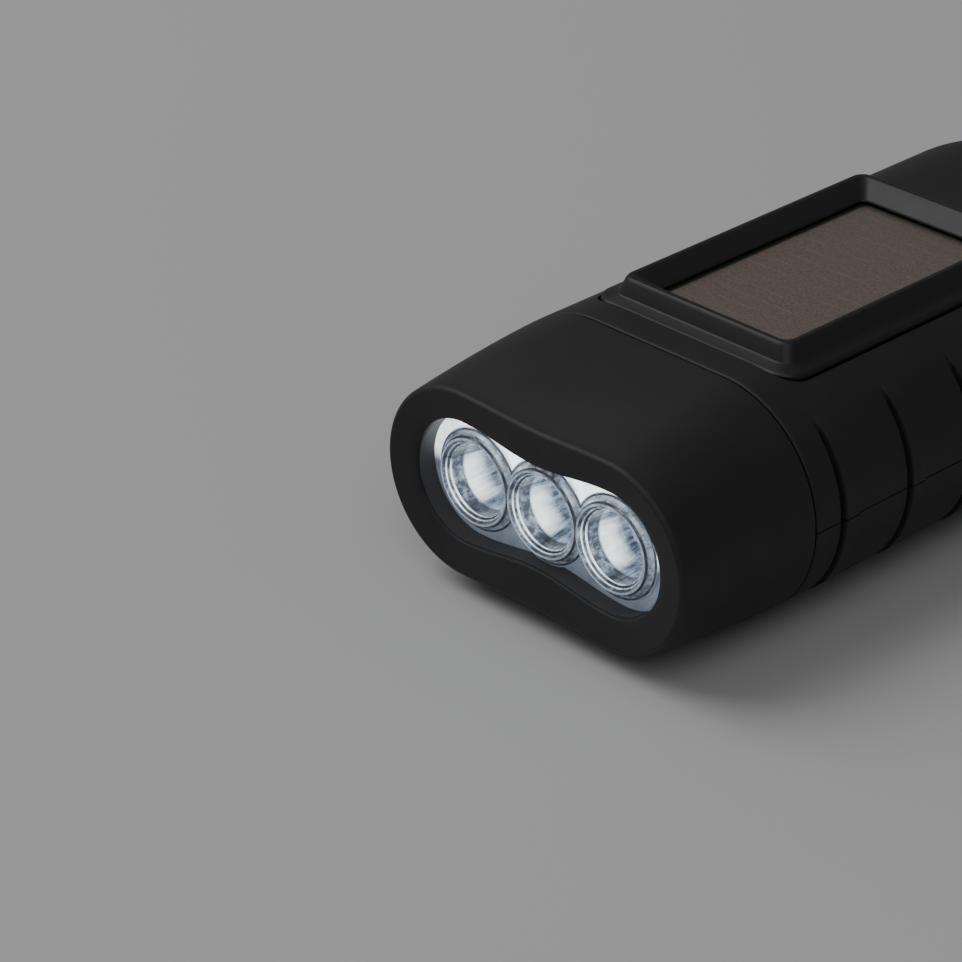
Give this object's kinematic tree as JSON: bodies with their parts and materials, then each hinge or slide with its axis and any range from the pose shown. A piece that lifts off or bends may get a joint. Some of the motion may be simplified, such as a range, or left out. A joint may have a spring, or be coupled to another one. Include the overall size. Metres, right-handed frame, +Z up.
{
  "type": "emergency radio",
  "caption": "Pocket emergency radio with a three-lamp torch head, a solar panel on top, side thumbwheels and a fold-out hand crank underneath.",
  "frame": {"origin": "middle of the bounding box in X and Y, on the plane the housing rests on", "axes": "+Z up, through the solar panel; -Y out of the torch lens; +X the side with the tuning thumbwheel"},
  "size_m": [0.058, 0.1236, 0.0353],
  "materials": {
    "shell": "fine matt grain",
    "gloss_black": "semi-gloss",
    "grip": "matt",
    "clear_plastic": "clear and polished",
    "bright_metal": "vacuum-metallised mirror",
    "lamp_body": "clear lamp resin",
    "solar": "mottled cell under a clear sheet",
    "circuit_board": "solder mask",
    "steel": "bright plated",
    "brass": "turned",
    "copper_wire": "enamelled winding",
    "gear_plastic": "moulded",
    "magnet": "sintered",
    "cell_wrap": "shrink sleeve",
    "speaker_paper": "pressed paper"
  },
  "bodies": {
    "housing": {"nose_bezel": "shell", "lens": "clear_plastic", "reflector": "bright_metal", "lamp_left": "lamp_body", "lamp_middle": "lamp_body", "lamp_right": "lamp_body", "lamp_board": "circuit_board", "nose_seal": "grip", "upper_shell": "shell", "lower_shell": "shell", "case_screw_1": "steel", "case_screw_2": "steel", "case_screw_3": "steel", "case_screw_4": "steel", "lanyard_lug": "gloss_black", "solar_frame": "gloss_black", "solar_cell": "solar", "solar_window": "clear_plastic", "main_board": "circuit_board", "battery_holder": "gloss_black", "battery_cell_1": "cell_wrap", "battery_cell_2": "cell_wrap", "battery_cell_3": "cell_wrap", "speaker_basket": "steel", "speaker_cone": "speaker_paper", "speaker_magnet": "magnet", "aerial_rod": "magnet", "aerial_coil": "copper_wire", "charge_socket": "steel", "torch_switch": "gloss_black", "tuning_capacitor": "gear_plastic", "volume_control": "steel", "crank_bush": "brass", "idler_pin": "steel", "generator_can": "steel", "generator_coil": "copper_wire", "gear_plate": "steel"},
    "button": {"torch_button": "grip"},
    "flap": {"port_flap": "grip"},
    "tuning": {"tuning_wheel": "grip"},
    "volume": {"volume_wheel": "grip"},
    "crank": {"crank_disc": "shell", "crank_shaft": "steel", "crank_screw": "steel", "knob_pin": "steel", "drive_gear": "gear_plastic"},
    "knob_arm": {"knob_arm": "steel"},
    "knob_grip": {"knob_grip": "grip"},
    "idler": {"idler_gear": "gear_plastic"},
    "rotor": {"rotor_pinion": "brass", "generator_rotor": "magnet"}
  },
  "joints": [
    {"name": "crank_turn", "type": "hinge", "parent": "housing", "child": "crank", "pos_m": [0, 0.008, 0.004], "axis": [0, 0, 1], "continuous": true},
    {"name": "idler_turn", "type": "hinge", "parent": "housing", "child": "idler", "pos_m": [0, 0.029, 0.01], "axis": [0, 0, 1], "continuous": true},
    {"name": "rotor_turn", "type": "hinge", "parent": "housing", "child": "rotor", "pos_m": [0.01103, 0.03826, 0.01], "axis": [0, 0, 1], "continuous": true},
    {"name": "knob_fold", "type": "hinge", "parent": "crank", "child": "knob_arm", "pos_m": [0.0074, 0.0162, 0.0033], "axis": [1, 0, 0], "range_deg": [0, 90]},
    {"name": "knob_spin", "type": "hinge", "parent": "knob_arm", "child": "knob_grip", "pos_m": [0.0074, 0.0062, 0.0033], "axis": [0, 1, 0], "continuous": true},
    {"name": "torch_press", "type": "slide", "parent": "housing", "child": "button", "axis": [0, 0, -1], "range_m": [0, 0.0008], "stiffness_N_per_m": 1500, "springref_m": -0.0003},
    {"name": "tuning_turn", "type": "hinge", "parent": "housing", "child": "tuning", "pos_m": [0.02, 0.036, 0.0164], "axis": [0, 0, 1], "range_deg": [0, 270]},
    {"name": "volume_turn", "type": "hinge", "parent": "housing", "child": "volume", "pos_m": [-0.02, 0.036, 0.0164], "axis": [0, 0, 1], "range_deg": [0, 280]},
    {"name": "flap_open", "type": "hinge", "parent": "housing", "child": "flap", "pos_m": [0, 0.054, 0.0217], "axis": [1, 0, 0], "range_deg": [0, 110]}
  ],
  "couplings": [
    {"joint": "idler_turn", "follows": "crank_turn", "ratio": -3.2},
    {"joint": "rotor_turn", "follows": "crank_turn", "ratio": 8.32}
  ]
}
